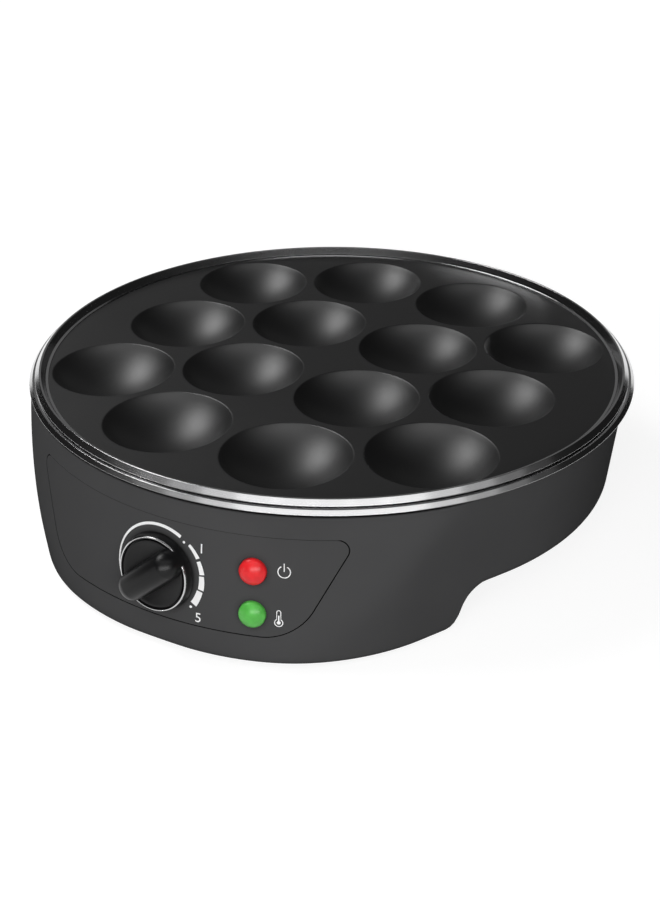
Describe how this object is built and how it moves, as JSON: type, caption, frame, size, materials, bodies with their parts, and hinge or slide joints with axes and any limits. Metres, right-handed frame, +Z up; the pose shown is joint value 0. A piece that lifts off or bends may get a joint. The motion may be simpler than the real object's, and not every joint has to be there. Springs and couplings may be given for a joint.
{
  "type": "pancake maker",
  "caption": "Round electric pancake maker: a plate of dished cups inside a bright rim, on a dark housing with broad legs, a leaning control panel, a heat dial and indicator lamps.",
  "frame": {"origin": "on the table, under the middle of the whole object; the round plate's axis stands about 5 mm behind it, because the knob reaches further forward than anything reaches back", "axes": "+Z up from the table, +Y from the dial at the front to the cord inlet at the back, +X to the right seen from the front"},
  "size_m": [0.3, 0.3319, 0.079],
  "materials": {
    "housing_plastic": "fine satin, charcoal",
    "panel_plastic": "satin, charcoal, with printed marks",
    "nonstick": "semi-matt non-stick coating",
    "chrome_trim": "polished",
    "knob_plastic": "semi-gloss black",
    "red_lens": "clear red lens",
    "green_lens": "clear green lens",
    "steel": "zinc plated",
    "sheet_aluminium": "mill finish",
    "copper": "bright copper",
    "brass": "plain",
    "ceramic": "glazed ceramic, cream",
    "nylon": "natural",
    "rubber": "matt"
  },
  "bodies": {
    "base": {"housing": "housing_plastic", "bottom_cover": "housing_plastic", "control_panel": "panel_plastic", "cooking_plate": "nonstick", "plate_trim_ring": "chrome_trim", "body_trim_ring": "chrome_trim", "heating_element": "steel", "element_terminals": "ceramic", "heat_shield": "sheet_aluminium", "shield_screws": "steel", "plate_screws": "steel", "thermostat": "steel", "thermostat_screws": "steel", "capillary_tube": "copper", "heat_sensor": "copper", "sensor_clip": "steel", "thermal_fuse": "ceramic", "fuse_clip": "steel", "clip_screws": "steel", "terminal_block": "nylon", "terminal_screws": "brass", "power_lamp_lens": "red_lens", "ready_lamp_lens": "green_lens", "power_lamp": "nylon", "ready_lamp": "nylon", "lamp_retainers": "nylon", "cord_inlet_bush": "housing_plastic", "inlet_nut": "housing_plastic", "rubber_feet": "rubber"},
    "dial": {"knob": "knob_plastic", "knob_ring": "chrome_trim", "thermostat_shaft": "steel"}
  },
  "joints": [
    {"name": "dial_turn", "type": "hinge", "parent": "base", "child": "dial", "pos_m": [0, -0.15055, 0.0378], "axis": [0, 0.9877, -0.1564], "range_deg": [0, 265]}
  ]
}
